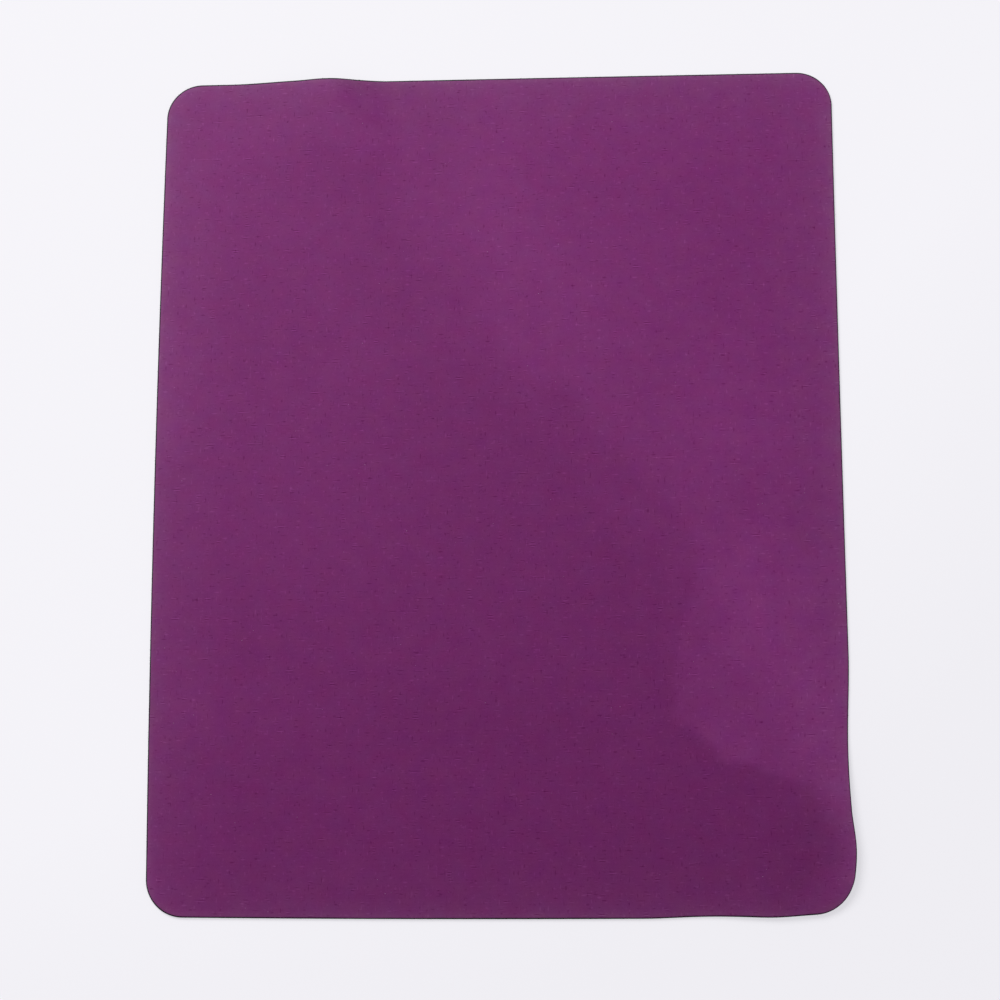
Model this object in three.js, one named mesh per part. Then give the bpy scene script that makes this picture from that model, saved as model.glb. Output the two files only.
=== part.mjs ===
// A thin cloth-faced mouse pad, lying on a table: a woven cloth face, a bond film and a foamed
// rubber base, cut together with one die. Millimetres, +Z up, +Y towards the back of the pad.
// The origin is on the table, under the middle of the pad.
import * as THREE from "three";

// The die-cut sheet: its nominal size, and how far each side bows out (or draws in) between corners.
const padWidth = 210;
const padLength = 260;
const cornerRadius = 11;
const leftBow = 1;
const rightBow = -0.3;
const frontBow = 0.6;
const backBow = 0.1;

// The layers, from the table up.
const rubberThickness = 0.8;
const bondThickness = 0.1;
const clothThickness = 0.3;

// The die leaves the rubber standing a little proud of the cloth, and presses the cloth's rim down.
const clothSetback = 0.4;
const pressedWidth = 0.6;
const pressedDepth = 0.12;

// The buckle in the back edge: a low arch with a long left flank and a short right one.
const buckleHeight = 2.9;
const bucklePlace = -53;
const buckleLeftSpan = 32;
const buckleRightSpan = 18.5;
const buckleReach = 42;
const buckleLean = 11;

// The long low roll that crosses the pad from the back edge towards the right one. It lies flat
// again at both.
const rollHeight = 2;
const rollBackPlace = -11;
const rollRightPlace = -63;
const rollNearSpan = 28;
const rollFarSpan = 85;
const rollBackFade = 45;
const rollRightFade = 45;

// The right edge curls up off the table beside the front corner. Its place is from the front.
const curlHeight = 3;
const curlReach = 30;
const curlPlace = 22;
const curlSpan = 36;

// The front right corner draws in, and the edges on both sides of it sway: the right edge first
// in, to a waist, and then out again, and the front edge in. The front edge's place is from the
// right, the others are from the front.
const cornerDrawIn = 1.7;
const cornerDrawInReach = 20;
const waistDepth = 1.2;
const waistPlace = 43;
const waistSpan = 34;
const flareDepth = 0.65;
const flarePlace = 18.5;
const flareSpan = 12;
const frontWaistDepth = 0.5;
const frontWaistPlace = 42;
const frontWaistSpan = 20;

// How finely the sheet is divided: steps in each corner, and between the corners.
const cornerSteps = 3;
const columnSteps = 15;
const rowSteps = 18;
const spacingSamples = 400;
const buckleCrowdShare = 2;
const curlCrowdShare = 1.2;
const backCrowdShare = 0.8;

const cloth = { color: 0x6e2a61, roughness: 0.85, metalness: 0 };
const bond = { color: 0xd9d4c4, roughness: 0.5, metalness: 0 };
const rubber = { color: 0x232026, roughness: 0.8, metalness: 0 };

const halfWidth = padWidth / 2;
const halfLength = padLength / 2;

// A smooth hill, 1 at t = 0 and 0 from t = 1 outwards on both sides.
function hill(t) {
  const rest = Math.max(1 - t * t, 0);
  return rest * rest;
}

// A smooth climb, 0 up to t = 0 and 1 from t = 1.
function climb(t) {
  const c = Math.min(Math.max(t, 0), 1);
  return c * c * (3 - 2 * c);
}

// A hill with its own span on each side of its crest.
function uneven(distance, spanBefore, spanAfter) {
  return hill(distance / (distance < 0 ? spanBefore : spanAfter));
}

// How far the curl has lifted at a place on the flat sheet, 0 to 1 at its crest on the edge. The
// sheet bends evenly over the curl's reach, so that its height grows with the square.
function curlShare(u, v) {
  const bend = Math.max(1 - (halfWidth - u) / curlReach, 0);
  return bend * bend * hill((v + halfLength - curlPlace) / curlSpan);
}

// The height of the sheet's underside above the table, at a place on the flat sheet.
function liftAt(u, v) {
  const fromBack = halfLength - v;
  const leanShare = fromBack / buckleReach;
  const acrossBuckle = u - bucklePlace - buckleLean * leanShare;
  const buckle =
    uneven(acrossBuckle, buckleLeftSpan, buckleRightSpan) * climb(1 - leanShare);

  const rollStart = new THREE.Vector2(rollBackPlace, halfLength);
  const along = new THREE.Vector2(halfWidth, rollRightPlace).sub(rollStart).normalize();
  const offset = new THREE.Vector2(u, v).sub(rollStart);
  const beyondCrest = offset.y * along.x - offset.x * along.y;
  const rollFade = climb(fromBack / rollBackFade) * climb((halfWidth - u) / rollRightFade);
  const roll = uneven(beyondCrest, rollNearSpan, rollFarSpan) * rollFade;

  return buckleHeight * buckle + rollHeight * roll + curlHeight * curlShare(u, v);
}

// Where a place on the flat sheet ends up, seen from above.
function planOf(u, v) {
  const rightShare = u / padWidth + 1 / 2;
  const backShare = v / padLength + 1 / 2;
  const sideArc = 1 - (v / halfLength) ** 2;
  const endArc = 1 - (u / halfWidth) ** 2;
  const fromFront = v + halfLength;
  const fromRight = halfWidth - u;
  const waist = hill((fromFront - waistPlace) / waistSpan);
  const flare = hill((fromFront - flarePlace) / flareSpan);
  const frontWaist = hill((fromRight - frontWaistPlace) / frontWaistSpan);
  const rightShift = rightBow * sideArc - waistDepth * waist + flareDepth * flare;
  const frontShift = frontBow * endArc - frontWaistDepth * frontWaist;
  const fromCorner = (fromRight + fromFront) / Math.SQRT2;
  const drawIn = (cornerDrawIn * climb(1 - fromCorner / cornerDrawInReach)) / Math.SQRT2;
  return {
    x: u + rightShift * rightShare - leftBow * sideArc * (1 - rightShare) - drawIn,
    y: v + backBow * endArc * backShare - frontShift * (1 - backShare) + drawIn,
  };
}

// Divides a straight run into steps that crowd together near the places where the sheet bends.
function crowdedSteps(from, to, steps, crowds) {
  const reached = [0];
  for (let i = 0; i < spacingSamples; i++) {
    const place = from + ((to - from) * (i + 1 / 2)) / spacingSamples;
    const crowding = crowds.reduce(
      (sum, crowd) => sum + crowd.share * hill((place - crowd.at) / crowd.span),
      1,
    );
    reached.push(reached[i] + crowding);
  }
  const total = reached[spacingSamples];
  const places = [];
  for (let k = 1, i = 0; k < steps; k++) {
    const wanted = (total * k) / steps;
    while (reached[i + 1] < wanted) i++;
    const within = (wanted - reached[i]) / (reached[i + 1] - reached[i]);
    places.push(from + ((to - from) * (i + within)) / spacingSamples);
  }
  return [from, ...places, to];
}

// Grid lines from one side of the sheet to the other: each is a place between the corner
// centres, and how far it goes on into a corner, as a share of that corner's radius.
function gridLines(half, steps, crowds) {
  const centre = half - cornerRadius;
  const lines = [];
  for (let k = cornerSteps; k > 0; k--) lines.push({ at: -centre, corner: -k / cornerSteps });
  for (const at of crowdedSteps(-centre, centre, steps, crowds)) lines.push({ at, corner: 0 });
  for (let k = 1; k <= cornerSteps; k++) lines.push({ at: centre, corner: k / cornerSteps });
  return lines;
}

const columns = gridLines(halfWidth, columnSteps, [
  { at: bucklePlace, span: buckleLeftSpan, share: buckleCrowdShare },
  { at: halfWidth, span: curlReach + cornerDrawInReach, share: curlCrowdShare },
]);
const rows = gridLines(halfLength, rowSteps, [
  { at: -halfLength, span: waistPlace + waistSpan, share: curlCrowdShare },
  { at: halfLength, span: buckleReach, share: backCrowdShare },
]);

// The point of the flat sheet on one column and one row, for an outline drawn in by inset.
// Each corner's square of the grid is rounded to the corner's arc.
function sheetPoint(column, row, inset) {
  const radius = cornerRadius - inset;
  const a = column.corner;
  const b = row.corner;
  return {
    u: column.at + radius * a * Math.sqrt(1 - (b * b) / 2),
    v: row.at + radius * b * Math.sqrt(1 - (a * a) / 2),
  };
}

// One layer of the pad as a closed solid. rings lists its outline from the lower face to the
// upper one: how far each ring is drawn in from the die's cut, and its height over the table.
function layerGeometry(rings) {
  const positions = [];
  const indices = [];
  const addPoint = (column, row, ring) => {
    const { u, v } = sheetPoint(column, row, ring.inset);
    const { x, y } = planOf(u, v);
    positions.push(x, y, ring.height + liftAt(u, v));
    return positions.length / 3 - 1;
  };
  const face = (ring) => columns.map((column) => rows.map((row) => addPoint(column, row, ring)));
  const lower = face(rings[0]);
  const upper = face(rings[rings.length - 1]);

  const quad = (a, b, c, d) => indices.push(a, b, c, a, c, d);
  for (let i = 0; i + 1 < columns.length; i++) {
    for (let j = 0; j + 1 < rows.length; j++) {
      const towardsRight = columns[i].at + columns[i + 1].at > 0;
      const towardsBack = rows[j].at + rows[j + 1].at > 0;
      const up = [upper[i][j], upper[i + 1][j], upper[i + 1][j + 1], upper[i][j + 1]];
      const down = [lower[i][j], lower[i][j + 1], lower[i + 1][j + 1], lower[i + 1][j]];
      if (towardsRight === towardsBack) {
        quad(...up);
        quad(...down);
      } else {
        quad(up[1], up[2], up[3], up[0]);
        quad(down[3], down[0], down[1], down[2]);
      }
    }
  }

  const lastColumn = columns.length - 1;
  const lastRow = rows.length - 1;
  const border = [];
  for (let i = 0; i < lastColumn; i++) border.push([i, 0]);
  for (let j = 0; j < lastRow; j++) border.push([lastColumn, j]);
  for (let i = lastColumn; i > 0; i--) border.push([i, lastRow]);
  for (let j = lastRow; j > 0; j--) border.push([0, j]);
  const loops = rings.map((ring, k) => {
    if (k === 0) return border.map(([i, j]) => lower[i][j]);
    if (k === rings.length - 1) return border.map(([i, j]) => upper[i][j]);
    return border.map(([i, j]) => addPoint(columns[i], rows[j], ring));
  });
  for (let k = 0; k + 1 < loops.length; k++) {
    for (let n = 0; n < border.length; n++) {
      const next = (n + 1) % border.length;
      quad(loops[k][n], loops[k][next], loops[k + 1][next], loops[k + 1][n]);
    }
  }

  const geometry = new THREE.BufferGeometry();
  geometry.setAttribute("position", new THREE.Float32BufferAttribute(positions, 3));
  geometry.setIndex(indices);
  geometry.computeVertexNormals();
  return geometry;
}

function layer(name, finish, rings) {
  const mesh = new THREE.Mesh(layerGeometry(rings), new THREE.MeshStandardMaterial(finish));
  mesh.name = name;
  return mesh;
}

const rubberTop = rubberThickness;
const bondTop = rubberTop + bondThickness;
const clothTop = bondTop + clothThickness;

// The rubber's upper face has the cloth's outline as a ring of its own, so that the film lies
// on it face to face, with the proud lip of rubber left bare outside that ring.
const rubberBase = layer("rubber_base", rubber, [
  { inset: 0, height: 0 },
  { inset: 0, height: rubberTop },
  { inset: clothSetback, height: rubberTop },
]);
const bondFilm = layer("bond_film", bond, [
  { inset: clothSetback, height: rubberTop },
  { inset: clothSetback, height: bondTop },
]);
const surfaceCloth = layer("surface_cloth", cloth, [
  { inset: clothSetback, height: bondTop },
  { inset: clothSetback, height: clothTop - pressedDepth },
  { inset: clothSetback + pressedWidth, height: clothTop },
]);

const mousePad = new THREE.Group();
mousePad.add(rubberBase, bondFilm, surfaceCloth);

// The bows and the sway make the sheet a little lopsided, so the pad is centred on the origin.
const middle = new THREE.Box3().setFromObject(mousePad).getCenter(new THREE.Vector3());
mousePad.position.set(-middle.x, -middle.y, 0);

export default mousePad;
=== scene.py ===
"""A thin cloth-faced mouse pad, lying on a pale table and seen from above.

The packed model holds the pad's three layers as plain solids. Here each layer gets its fine shape
and its finish: the woven cloth with its pressed and frayed rim, the film that bonds it down, and
the foamed rubber with its die-cut wall and its studded underside. Metres, +Z up, +Y to the back.
"""
import math
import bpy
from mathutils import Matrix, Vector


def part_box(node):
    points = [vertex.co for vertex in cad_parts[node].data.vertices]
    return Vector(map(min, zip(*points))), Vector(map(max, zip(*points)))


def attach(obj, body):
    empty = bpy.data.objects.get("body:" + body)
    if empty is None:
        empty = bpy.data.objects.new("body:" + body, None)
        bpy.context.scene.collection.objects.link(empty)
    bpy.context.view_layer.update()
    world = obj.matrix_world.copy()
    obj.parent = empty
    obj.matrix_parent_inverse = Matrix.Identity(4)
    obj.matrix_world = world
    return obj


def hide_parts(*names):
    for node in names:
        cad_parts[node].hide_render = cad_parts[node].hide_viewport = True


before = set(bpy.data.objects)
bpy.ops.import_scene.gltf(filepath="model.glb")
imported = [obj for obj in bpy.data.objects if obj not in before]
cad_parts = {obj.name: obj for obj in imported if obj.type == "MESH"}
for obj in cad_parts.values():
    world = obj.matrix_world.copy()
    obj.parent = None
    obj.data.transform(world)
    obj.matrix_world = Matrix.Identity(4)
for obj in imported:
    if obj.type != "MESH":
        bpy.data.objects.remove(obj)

from types import SimpleNamespace

import bpy
import numpy as np
from mathutils import Matrix, Vector, noise

MM = 0.001


def sizes(**millimetres):
    """Sizes that belong together, given in millimetres and kept in metres."""
    return SimpleNamespace(**{name: size * MM for name, size in millimetres.items()})


# The sheet that the die cuts, and how far each side bows between its corners.
PAD = sizes(width=210, length=260, corner=11)
BOW = sizes(left=1, right=-0.3, front=0.6, back=0.1)
HALF_WIDTH = PAD.width / 2
HALF_LENGTH = PAD.length / 2

# The layers, as heights over the table where the pad lies flat.
TOP = sizes(rubber=0.8, bond=0.9, cloth=1.2)

# The cut edge: rubber stands proud of the cloth, whose own rim the die presses down.
CUT = sizes(
    film_setback=0.42, cloth_setback=0.36, slip=0.08, back_lip=0.15, pressed_width=0.64,
    pressed_depth=0.09, lip_rounding=0.07, wall_hollow=0.04, wander=0.07, wander_length=7,
    roughness=0.03, film_squeeze=0.03, fray_length=0.8)

# The buckle in the back edge, and its crest, which is a little sharper at the cut.
BUCKLE = sizes(height=2.9, place=-53, left_span=32, right_span=18.5, reach=42, lean=11)
CREST = sizes(height=0.85, shift=-0.5, span=10, reach=20)

# The long low roll from the back edge towards the right edge.
ROLL = sizes(
    height=2, back_place=-11, right_place=-63, near_span=28, far_span=85, back_fade=45,
    right_fade=45)

# The right edge's curl beside the front corner, and the front edge's slight swell there.
CURL = sizes(height=3, reach=30, place=22, span=36)
SWELL = sizes(height=0.8, place=83, left_span=27, right_span=19, reach=24)

# The front right corner's draw-in, and the sway of the edges on both sides of it.
DRAW_IN = sizes(depth=1.7, reach=20)
WAIST = sizes(depth=1.2, place=43, span=34)
FLARE = sizes(depth=0.65, place=18.5, span=12)
FRONT_WAIST = sizes(depth=0.5, place=42, span=20)

# The slight unevenness of a sheet that was rolled up before.
RIPPLE = sizes(height=0.12, length=38)

# Which part of the noise each unevenness is taken from.
RIPPLE_SEED = 0
CUT_SEED = 0
CLOTH_FRAY_SEED = 1
FILM_SEED = 2
NAP_AND_PAINTED_LIGHT_SEEDS = (3, 4)
FIBRE_TUFT_SEED = 7
CRUMB_TUFT_SEED = 8

# How finely the layers are divided.
CORNER_STEPS = 12
SHOULDER_STEPS = 4
WALL_STEPS = 4
COLUMN_STEPS = 130
ROW_STEPS = 162
RIM_REFINEMENT = 4

# Where the cloth's nap lies brushed up, with a painted sheen that lightens the patch as the light
# falling on it would: the patch's edge from the back of the pad to its right side, as places across
# and along and the softness of the edge there, all in millimetres.
NAP_AND_PAINTED_LIGHT_EDGE = (
    (-18, 135, 34), (-15, 84, 22), (-10, 62, 15), (2, 42, 10), (13, 32, 8), (25, 27, 7),
    (30, 16, 8), (42, 4, 9), (54, -8, 7), (61, -22, 6), (58, -37, 5), (55, -50, 5),
    (52.5, -60, 4), (54, -73, 3), (63.5, -79, 2.5), (67.5, -85, 2.5), (77, -85.5, 2.5),
    (81, -88.5, 3), (93, -91.5, 5), (97, -98, 5), (101, -108, 6), (103, -118, 8),
)
NAP_AND_PAINTED_LIGHT_EDGE_STEPS = 4
NAP_AND_PAINTED_LIGHT_WANDER = 1.2 * MM
NAP_AND_PAINTED_LIGHT_WANDER_LENGTH = 5 * MM
NAP_AND_PAINTED_LIGHT_LEVEL = 0.36

# Single strokes that brush the nap further up or down, and paint light and shade onto the cloth:
# the lighter strokes are painted sheen, also along the pad's edges, and the darker ones painted
# shade, as beside the buckle and the curl. From and to, across and along, and how far the stroke
# reaches to each side, all in millimetres, with its strength. Those inside the patch end at its
# edge.
PATCH_NAP_AND_LIGHT_STROKES = (
    ((77, -26), (95, -72), 19, 0.44), ((66, -40), (80, -84), 20, 0.2),
    ((76, 18), (104, 60), 34, 0.17), ((84, 14), (100, -16), 26, 0.2),
    ((62, 6), (68, 40), 18, 0.1), ((90, 128), (104, 90), 30, 0.13),
    ((-2, 88), (24, 58), 18, 0.08), ((24, 104), (56, 92), 24, -0.08),
    ((26, 44), (44, 50), 14, 0.03), ((98, -30), (99, -84), 15, 0.36),
    ((64, -8), (80, -14), 14, 0.1), ((74, -50), (88, -32), 12, 0.12),
    ((62, -75), (74, -81), 8, 0.18), ((88, -54), (92, -60), 11, 0.08),
    ((60, -37), (60, -46), 6, -0.1),
)
FREE_NAP_AND_LIGHT_STROKES = (
    ((-104, 100), (-104, 50), 16, 0.26), ((-105, 38), (-104, 22), 19, 0.38),
    ((-104, 10), (-104, -30), 15, 0.2), ((-104, -48), (-104, -74), 20, 0.24),
    ((-104, -90), (-104, -130), 14, 0.18), ((-91, 112), (-91, -122), 15, 0.1),
    ((-74, 104), (-60, -6), 50, 0.12), ((-60, 120), (-90, 114), 20, 0.14),
    ((-90, -66), (-66, -70), 16, 0.1), ((88, -106), (86, -127), 12, -0.22),
    ((12, -29), (13, -29), 7, 0.08), ((22, -76), (-26, -72), 20, -0.1),
    ((-51, 128), (-43, 112), 14, 0.34), ((-34, 122), (-20, 74), 15, 0.2),
    ((-16, 56), (5, 36), 13, 0.14), ((-44, 39), (-14, 43), 12, 0.08),
    ((10, 29), (30, 8), 10, 0.12), ((36, -5), (57, -20), 13, 0.19),
    ((55, -26), (53, -50), 7, 0.14), ((93, -127), (103, -120), 11, 0.4),
    ((-104, 131), (104, 131), 13, 0.14), ((105, 110), (105, -92), 10, 0.27),
    ((-105, 128), (-105, -128), 9, 0.12), ((-104, 127), (-94, 130), 14, 0.2),
    ((105, -92), (105, -128), 9, 0.2), ((63, 118), (72, 122), 14, 0.08),
    ((97, 130), (105, 118), 12, 0.32), ((-104, -122), (-96, -130), 12, 0.2),
    ((95, -100), (97, -112), 9, -0.06), ((34, -116), (44, -112), 13, -0.07),
    ((-105, -106), (-105, -122), 4, 0.35), ((-46, 130), (-31, 128), 6, -0.3),
    ((105, -48), (105, -62), 6, 0.28), ((105, -4), (105, -22), 7, -0.15),
    ((-4, 104), (20, 92), 22, -0.07), ((-16, -112), (56, -104), 28, -0.06),
    ((100, 56), (100, 10), 14, 0.08), ((-76, 60), (-66, 44), 20, -0.07),
    ((58, -121), (88, -121), 13, -0.07),
)

# The cloth's threads and colour, with the nap lying flat, and brushed up with a painted sheen on
# it. The roughness is that between the threads, and that on top of them.
THREAD_PITCH = 0.41 * MM
WEAVE_BOW = 0.4
WEAVE_RELIEF = 0.014 * MM
CLOTH_COLOUR = (0.1525, 0.0187, 0.1212, 1)
NAP_AND_SHEEN_COLOUR = (0.2115, 0.0321, 0.173, 1)
CLOTH_ROUGHNESS = (0.6, 0.5)

# The cloth's rim, which is greyer and paler the nearer it lies to the cut, partly from fuzz and
# partly from a painted sheen: the colour of each band, how far in it reaches, and its share at the
# cut.
RIM_FUZZ_AND_SHEEN_BANDS = (
    ((0.16, 0.037, 0.135, 1), 26 * MM, 0.28),
    ((0.2, 0.066, 0.178, 1), 7 * MM, 0.17),
    ((0.21, 0.085, 0.175, 1), 2.5 * MM, 0.24),
)
# The rim's painted sheen is weaker at the front and stronger at the back, towards the lamp.
RIM_SHEEN_SHARE_IN_FRONT = 0.75
RIM_SHEEN_SHARE_AT_BACK = 1.25
EDGE_NOISE_SCALE = 0.6

# Uneven dye and fuzz, as the size of the unevenness and its strength. The fuzz is greyer than the
# dye, so that it changes green the most.
UNEVEN_TONES = ((8 * MM, 0.085), (3 * MM, 0.065), (1.2 * MM, 0.07))
UNEVEN_DETAIL = 0.5
FUZZ_TONE = (1, 2.1, 1.15)

# Flecks where single threads are thicker or thinner: how long they are across and along the pad,
# how rare they are, and how much lighter or darker.
FLECKS = (
    (2.2 * MM, 0.64 * MM, 0.75, 0.23), (2.4 * MM, 0.6 * MM, 0.75, -0.23),
    (0.6 * MM, 2 * MM, 0.75, 0.2), (0.64 * MM, 2.2 * MM, 0.75, -0.2),
    (1.1 * MM, 0.85 * MM, 0.77, -0.2), (1 * MM, 0.8 * MM, 0.77, 0.2),
)
FLECK_RELIEF = 2
STREAK_SOFTNESS = 0.2

# The ribs where threads bunch, which show in small patches.
RIB_PITCH = 0.76 * MM
RIB_PATCH_WIDTH = 3.2 * MM
RIB_PATCH_LENGTH = 2 * MM
RIB_RARENESS = 0.73
RIB_STRENGTH = 0.3

# The dye's hue, which turns redder and bluer, and duller, in patches.
HUE_PATCH = 5 * MM
HUE_STRENGTH = 0.095
HUE_SEED = 7
DULL_STRENGTH = 0.38
DULLNESS_SEED = 8

# The bond film and the rubber, whose roughness follows its mottling from least to greatest.
FILM_COLOUR = (0.62, 0.58, 0.5, 1)
FILM_RELIEF = 0.05 * MM
RUBBER_COLOUR = (0.014, 0.0115, 0.0165, 1)
PORE_RIM_COLOUR = (0.028, 0.0235, 0.032, 1)
WORN_RUBBER_COLOUR = (0.052, 0.043, 0.058, 1)
WORN_SHARE = 0.3
DUSTY_RUBBER_COLOUR = (0.085, 0.078, 0.09, 1)
DUST_PATCH = 1.5 * MM
DUST_SHARE = 0.8
RUBBER_ROUGHNESS = (0.72, 0.88)
STUD_ROUGHNESS = (0.55, 0.8)
MOTTLE_SPREAD = (0.3, 0.7)
WEAR_REACH = 0.16 * MM

# The foam's pores: how far from a pore's middle its pit and its rim reach, in pore sizes.
PORE_SIZE = 0.16 * MM
PORE_RELIEF = 0.03 * MM
PORE_PIT = (0.15, 0.6)
PORE_RIM = (0.5, 0.85)

# The anti-slip studs under the rubber.
STUD = sizes(height=0.2, sink=0.08, pitch=2.6, base_radius=0.95, tip_radius=0.62, margin=1.1)
STUD_SIDES = 4
STUD_SEED = 5

# What sits round the rim: how far each part may swing, its sizes, and the least of its density.
RIM_PART_SWING = ((-0.4, -0.5, -1.1), (0.4, 0.35, 1.1))
RIM_PART_SIZES = (0.3, 1.0)
FRAY_LEAST = 0.35

# The frayed fibres round the cloth's cut.
FIBRE = sizes(spacing=0.35, length=0.75, radius=0.022, curl=0.35)
FIBRE_HEIGHT = 0.14 * MM
FIBRE_JOINTS = 6
FIBRE_SIDES = 3
FIBRE_TAPER = 0.6
FIBRE_SEED = 11
FIBRE_TONES = ((0.03, 0.012, 0.03, 1), (0.3, 0.1, 0.26, 1))

# The crumbs of rubber that the die leaves on the lip.
CRUMB = sizes(spacing=0.9, radius=0.13)
CRUMB_SEED = 23

# The pills of lint on the cloth.
LINT_DENSITY = 3800.0
LINT_RADIUS = 0.12 * MM
LINT_SIZES = (0.35, 1.0)
LINT_WIDTH = 1.5
LINT_THICKNESS = 0.5
LINT_RELIEF = 0.02 * MM
FACING_UP = 0.9
LINT_SEED = 31
LINT_TONES = ((0.16, 0.035, 0.13, 1), (0.38, 0.19, 0.35, 1))

# The camera, from the pad's outline in the photograph.
CAMERA_PLACE = (31.39 * MM, -110.55 * MM, 600.87 * MM)
CAMERA_PITCH = -0.17371
CAMERA_YAW = -0.05025
CAMERA_ROLL = 0.00203
CAMERA_LENS = 72
CAMERA_SENSOR = 36
CAMERA_NEAR = 10 * MM

# The light and the table.
LAMP_PLACE = (-270 * MM, 380 * MM, 600 * MM)
UNDER_LAMP_PLACE = (-420 * MM, 380 * MM, -500 * MM)
LAMP_SIZE = 450 * MM
LAMP_POWER = 5
AMBIENT_STRENGTH = 0.3
TABLE_SIZE = 8
TABLE_COLOUR = (0.34, 0.335, 0.345, 1)
TABLE_GLOW = (0.55, 0.543, 0.575, 1)
GLOW_NEAR = 200 * MM
GLOW_FAR = 500 * MM
GLOW_NEAR_STRENGTH = 0.87
GLOW_FAR_STRENGTH = 1.105
HORIZON_NEAR = 600 * MM
HORIZON_FAR = 1200 * MM
HORIZON_STRENGTH = 1.26
BACKDROP_COLOUR = (0.89, 0.88, 0.92, 1)

FLOAT = "NodeSocketFloat"
VECTOR = "NodeSocketVector"
COLOUR = "NodeSocketColor"
GEOMETRY = "NodeSocketGeometry"
MATERIAL = "NodeSocketMaterial"
INTEGER = "NodeSocketInt"


def show(name, data):
    """A new object in the scene, at the origin."""
    made = bpy.data.objects.new(name, data)
    bpy.context.scene.collection.objects.link(made)
    return made


def make_camera():
    """A camera that looks down at the pad from over its front, as the photograph does."""
    data = bpy.data.cameras.new("camera")
    data.lens = CAMERA_LENS
    data.sensor_width = CAMERA_SENSOR
    data.clip_start = CAMERA_NEAR
    turn = (
        Matrix.Rotation(CAMERA_ROLL, 4, "Z")
        @ Matrix.Rotation(CAMERA_PITCH, 4, "X")
        @ Matrix.Rotation(CAMERA_YAW, 4, "Y")
    )
    camera = show("camera", data)
    camera.matrix_world = Matrix.Translation(CAMERA_PLACE) @ turn.inverted()
    bpy.context.scene.camera = camera


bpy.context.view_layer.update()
make_camera()


# The pad's form, as functions of a place (u, v) on the flat sheet.


def hill(t):
    """A smooth hill, 1 at t = 0 and 0 from t = 1 outwards on both sides."""
    return np.maximum(1 - t * t, 0) ** 2


def climb(t):
    """A smooth climb, 0 up to t = 0 and 1 from t = 1."""
    c = np.clip(t, 0, 1)
    return c * c * (3 - 2 * c)


def uneven(distance, span_before, span_after):
    """A hill with its own span on each side of its crest."""
    return hill(distance / np.where(distance < 0, span_before, span_after))


def curl_share(u, v):
    bend = np.maximum(1 - (HALF_WIDTH - u) / CURL.reach, 0)
    return bend ** 2 * hill((v + HALF_LENGTH - CURL.place) / CURL.span)


def swell_share(u, v):
    bend = np.maximum(1 - (v + HALF_LENGTH) / SWELL.reach, 0)
    return bend ** 2 * uneven(u - SWELL.place, SWELL.left_span, SWELL.right_span)


def across_buckle(u, v):
    """How far a place lies to the right of the buckle's leaning crest."""
    return u - BUCKLE.place - BUCKLE.lean * (HALF_LENGTH - v) / BUCKLE.reach


def buckle_share(u, v):
    reach_share = climb(1 - (HALF_LENGTH - v) / BUCKLE.reach)
    return uneven(across_buckle(u, v), BUCKLE.left_span, BUCKLE.right_span) * reach_share


def crest_share(u, v):
    reach_share = climb(1 - (HALF_LENGTH - v) / CREST.reach)
    return hill((across_buckle(u, v) - CREST.shift) / CREST.span) * reach_share


def roll_share(u, v):
    start = np.array([ROLL.back_place, HALF_LENGTH])
    along = np.array([HALF_WIDTH, ROLL.right_place]) - start
    along /= np.linalg.norm(along)
    beyond_crest = (v - start[1]) * along[0] - (u - start[0]) * along[1]
    fade = climb((HALF_LENGTH - v) / ROLL.back_fade) * climb((HALF_WIDTH - u) / ROLL.right_fade)
    return uneven(beyond_crest, ROLL.near_span, ROLL.far_span) * fade


def lift_at(u, v):
    """The height of the sheet's underside over the table."""
    return (
        BUCKLE.height * buckle_share(u, v)
        + CREST.height * crest_share(u, v)
        + ROLL.height * roll_share(u, v)
        + CURL.height * curl_share(u, v)
        + SWELL.height * swell_share(u, v)
    )


def plan_of(u, v):
    """Where a place on the flat sheet ends up, seen from above."""
    right_share = u / PAD.width + 1 / 2
    back_share = v / PAD.length + 1 / 2
    side_arc = 1 - (v / HALF_LENGTH) ** 2
    end_arc = 1 - (u / HALF_WIDTH) ** 2
    from_front = v + HALF_LENGTH
    from_right = HALF_WIDTH - u
    waist = hill((from_front - WAIST.place) / WAIST.span)
    flare = hill((from_front - FLARE.place) / FLARE.span)
    front_waist = hill((from_right - FRONT_WAIST.place) / FRONT_WAIST.span)
    right_shift = BOW.right * side_arc - WAIST.depth * waist + FLARE.depth * flare
    front_shift = BOW.front * end_arc - FRONT_WAIST.depth * front_waist
    from_corner = (from_right + from_front) / math.sqrt(2)
    draw_in = DRAW_IN.depth * climb(1 - from_corner / DRAW_IN.reach) / math.sqrt(2)
    x = u + right_shift * right_share - BOW.left * side_arc * (1 - right_share) - draw_in
    y = v + BOW.back * end_arc * back_share - front_shift * (1 - back_share) + draw_in
    return x, y


def from_cut(u, v):
    """How far a place on the flat sheet lies inside the die's cut."""
    beyond_u = np.abs(u) - (HALF_WIDTH - PAD.corner)
    beyond_v = np.abs(v) - (HALF_LENGTH - PAD.corner)
    outside = np.hypot(np.maximum(beyond_u, 0), np.maximum(beyond_v, 0))
    inside = np.minimum(np.maximum(beyond_u, beyond_v), 0)
    return PAD.corner - outside - inside


def wander(u, v, size, seed):
    """A number from -1 to 1 for each place, which changes smoothly over that size."""
    return np.array([noise.noise(Vector((a / size, b / size, seed))) for a, b in zip(u, v)])


def ripple_at(u, v):
    """Slow, slight waves, which fade out at the rim."""
    waves = (1 + wander(u, v, RIPPLE.length, RIPPLE_SEED)) / 2
    return RIPPLE.height * waves * climb(from_cut(u, v) / RIPPLE.length)


# The grid that the sheet is divided by: each line is a place between the corner centres, and how
# far it goes on into a corner, as a share of the corner's radius.


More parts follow.
